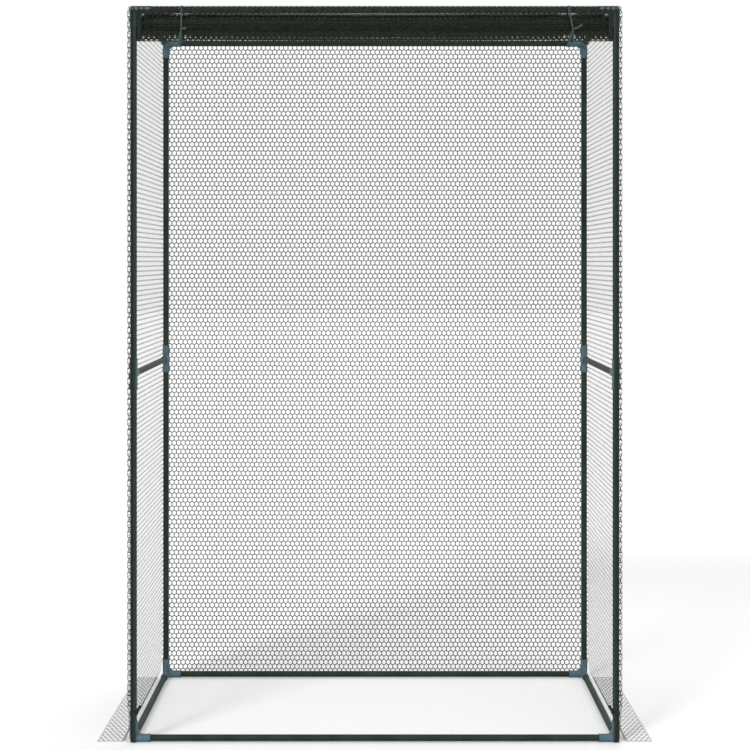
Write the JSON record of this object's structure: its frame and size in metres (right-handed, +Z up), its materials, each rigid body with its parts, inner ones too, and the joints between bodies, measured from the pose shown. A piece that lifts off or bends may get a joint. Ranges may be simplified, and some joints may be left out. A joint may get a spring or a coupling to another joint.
{
  "type": "fruit cage",
  "caption": "Tall rectangular fruit cage: tube frame in plastic connectors, fine net cover, roll-up front door with zips and ties, and net skirts on the ground.",
  "frame": {"origin": "on the ground, under the middle of the cage's bounding box", "axes": "+Z up; -Y is the side with the roll-up door; +X is to the right for someone who stands in front of the door"},
  "size_m": [1.348, 0.6104, 1.8018],
  "materials": {
    "tube": "dark green powder coat, semi-gloss",
    "connector": "blue-grey moulded plastic, satin",
    "net": "knotless dark green polyethylene net",
    "webbing": "woven dark green tape, matt",
    "zip_hardware": "black moulded plastic"
  },
  "bodies": {
    "root": {"bottom_rail_front": "tube", "bottom_rail_back": "tube", "bottom_rail_left": "tube", "bottom_rail_right": "tube", "middle_rail_left": "tube", "middle_rail_right": "tube", "top_rail_front": "tube", "top_rail_back": "tube", "top_rail_left": "tube", "top_rail_right": "tube", "post_front_left_lower": "tube", "post_front_left_upper": "tube", "post_front_right_lower": "tube", "post_front_right_upper": "tube", "post_back_left_lower": "tube", "post_back_left_upper": "tube", "post_back_right_lower": "tube", "post_back_right_upper": "tube", "corner_bottom_front_left": "connector", "corner_bottom_front_right": "connector", "corner_bottom_back_left": "connector", "corner_bottom_back_right": "connector", "corner_top_front_left": "connector", "corner_top_front_right": "connector", "corner_top_back_left": "connector", "corner_top_back_right": "connector", "tee_front_left": "connector", "tee_front_right": "connector", "tee_back_left": "connector", "tee_back_right": "connector", "net_roof": "net", "net_back": "net", "net_left": "net", "net_right": "net", "hem_left": "net", "hem_right": "net", "door_net": "net", "tie_left": "webbing", "tie_right": "webbing", "tie_knot_left": "webbing", "tie_knot_right": "webbing", "zip_tape_left": "webbing", "zip_tape_right": "webbing"},
    "door": {"door_roll": "net"},
    "slider_left": {"zip_slider_left": "zip_hardware"},
    "slider_right": {"zip_slider_right": "zip_hardware"},
    "pull_left": {"zip_pull_left": "zip_hardware"},
    "pull_right": {"zip_pull_right": "zip_hardware"},
    "skirt_left": {"skirt_left": "net"},
    "skirt_right": {"skirt_right": "net"}
  },
  "joints": [
    {"name": "door_unroll", "type": "slide", "parent": "root", "child": "door", "axis": [0, 0, -1], "range_m": [0, 1.69], "deforming": ["door_net", "tie_left", "tie_right"]},
    {"name": "zip_left", "type": "slide", "parent": "root", "child": "slider_left", "axis": [0, 0, 1], "range_m": [0, 1.66]},
    {"name": "zip_right", "type": "slide", "parent": "root", "child": "slider_right", "axis": [0, 0, 1], "range_m": [0, 1.66]},
    {"name": "pull_flip_left", "type": "hinge", "parent": "slider_left", "child": "pull_left", "pos_m": [-0.5816, -0.3031, 0.076], "axis": [1, 0, 0], "range_deg": [0, 170]},
    {"name": "pull_flip_right", "type": "hinge", "parent": "slider_right", "child": "pull_right", "pos_m": [0.5816, -0.3031, 0.076], "axis": [1, 0, 0], "range_deg": [0, 170]},
    {"name": "skirt_fold_left", "type": "hinge", "parent": "root", "child": "skirt_left", "pos_m": [-0.6183, 0.0034, 0.00075], "axis": [0, 1, 0], "range_deg": [0, 105]},
    {"name": "skirt_fold_right", "type": "hinge", "parent": "root", "child": "skirt_right", "pos_m": [0.6183, 0.0034, 0.00075], "axis": [0, -1, 0], "range_deg": [0, 105]}
  ]
}
